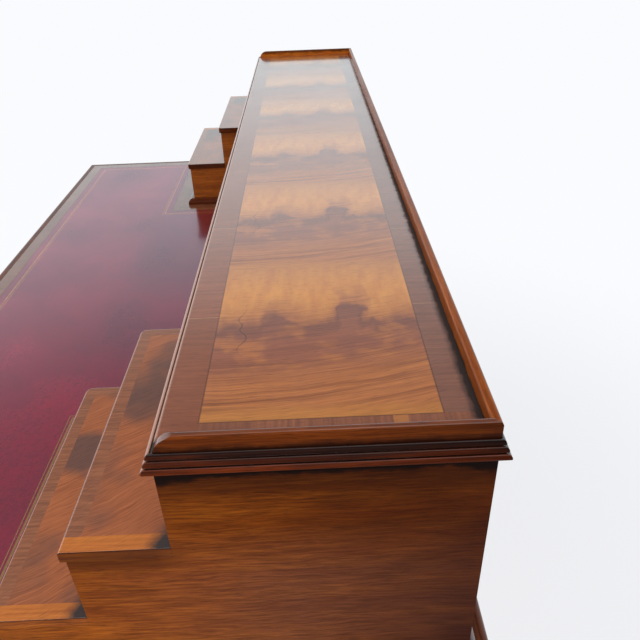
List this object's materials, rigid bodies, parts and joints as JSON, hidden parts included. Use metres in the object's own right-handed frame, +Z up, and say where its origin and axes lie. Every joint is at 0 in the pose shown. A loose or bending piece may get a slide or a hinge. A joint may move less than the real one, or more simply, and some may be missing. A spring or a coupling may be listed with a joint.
{
  "type": "bonheur du jour writing desk",
  "caption": "Lady's walnut writing desk on square tapered legs, with a leather top and a raised, galleried back of pigeonholes between stepped banks of small drawers.",
  "frame": {"origin": "on the floor under the middle of the desk's bounding box", "axes": "+X along the desk to the sitter's right, +Y towards the back, +Z up"},
  "size_m": [1.26, 0.656, 0.99],
  "materials": {
    "figured_walnut": "french polished figured walnut veneer",
    "walnut": "french polished straight-grained walnut",
    "dark_walnut": "french polished walnut moulding, darkened in the quirks",
    "oak": "planed, waxed oak",
    "red_leather": "polished skiver hide with a gilt border",
    "brass": "turned and lacquered"
  },
  "bodies": {
    "desk": {"top_board": "figured_walnut", "top_edge_moulding": "dark_walnut", "leather_panel": "red_leather", "back_rail": "walnut", "end_rail_left": "walnut", "end_rail_right": "walnut", "upper_drawer_rail": "walnut", "lower_drawer_rail": "walnut", "rail_dividers": "walnut", "drawer_runners": "oak", "drawer_kickers": "oak", "leg_front_left": "walnut", "leg_front_right": "walnut", "leg_back_left": "walnut", "leg_back_right": "walnut", "case_back": "walnut", "case_floor": "oak", "case_top": "figured_walnut", "cornice_moulding": "dark_walnut", "gallery_left": "walnut", "gallery_right": "walnut", "gallery_back": "walnut", "base_bead": "dark_walnut", "letter_shelf": "walnut", "pigeonhole_dividers": "walnut", "end_panel_left": "walnut", "partition_left": "walnut", "low_step_left": "figured_walnut", "high_step_left": "figured_walnut", "end_panel_right": "walnut", "partition_right": "walnut", "low_step_right": "figured_walnut", "high_step_right": "figured_walnut"},
    "low_drawer_left": {"low_drawer_left_front": "figured_walnut", "low_drawer_left_box": "oak", "low_drawer_left_knob": "brass"},
    "middle_drawer_left": {"middle_drawer_left_front": "figured_walnut", "middle_drawer_left_box": "oak", "middle_drawer_left_knob": "brass"},
    "high_drawer_left": {"high_drawer_left_front": "figured_walnut", "high_drawer_left_box": "oak", "high_drawer_left_knob": "brass"},
    "low_drawer_right": {"low_drawer_right_front": "figured_walnut", "low_drawer_right_box": "oak", "low_drawer_right_knob": "brass"},
    "middle_drawer_right": {"middle_drawer_right_front": "figured_walnut", "middle_drawer_right_box": "oak", "middle_drawer_right_knob": "brass"},
    "high_drawer_right": {"high_drawer_right_front": "figured_walnut", "high_drawer_right_box": "oak", "high_drawer_right_knob": "brass"},
    "frieze_drawer_left": {"frieze_drawer_left_front": "figured_walnut", "frieze_drawer_left_box": "oak", "frieze_drawer_left_knobs": "brass"},
    "frieze_drawer_centre": {"frieze_drawer_centre_front": "figured_walnut", "frieze_drawer_centre_box": "oak", "frieze_drawer_centre_knobs": "brass"},
    "frieze_drawer_right": {"frieze_drawer_right_front": "figured_walnut", "frieze_drawer_right_box": "oak", "frieze_drawer_right_knobs": "brass"}
  },
  "joints": [
    {"name": "low_drawer_left_slide", "type": "slide", "parent": "desk", "child": "low_drawer_left", "axis": [0, -1, 0], "range_m": [0, 0.271]},
    {"name": "middle_drawer_left_slide", "type": "slide", "parent": "desk", "child": "middle_drawer_left", "axis": [0, -1, 0], "range_m": [0, 0.203]},
    {"name": "high_drawer_left_slide", "type": "slide", "parent": "desk", "child": "high_drawer_left", "axis": [0, -1, 0], "range_m": [0, 0.135]},
    {"name": "low_drawer_right_slide", "type": "slide", "parent": "desk", "child": "low_drawer_right", "axis": [0, -1, 0], "range_m": [0, 0.271]},
    {"name": "middle_drawer_right_slide", "type": "slide", "parent": "desk", "child": "middle_drawer_right", "axis": [0, -1, 0], "range_m": [0, 0.203]},
    {"name": "high_drawer_right_slide", "type": "slide", "parent": "desk", "child": "high_drawer_right", "axis": [0, -1, 0], "range_m": [0, 0.135]},
    {"name": "frieze_drawer_left_slide", "type": "slide", "parent": "desk", "child": "frieze_drawer_left", "axis": [0, -1, 0], "range_m": [0, 0.4055]},
    {"name": "frieze_drawer_centre_slide", "type": "slide", "parent": "desk", "child": "frieze_drawer_centre", "axis": [0, -1, 0], "range_m": [0, 0.4055]},
    {"name": "frieze_drawer_right_slide", "type": "slide", "parent": "desk", "child": "frieze_drawer_right", "axis": [0, -1, 0], "range_m": [0, 0.4055]}
  ]
}
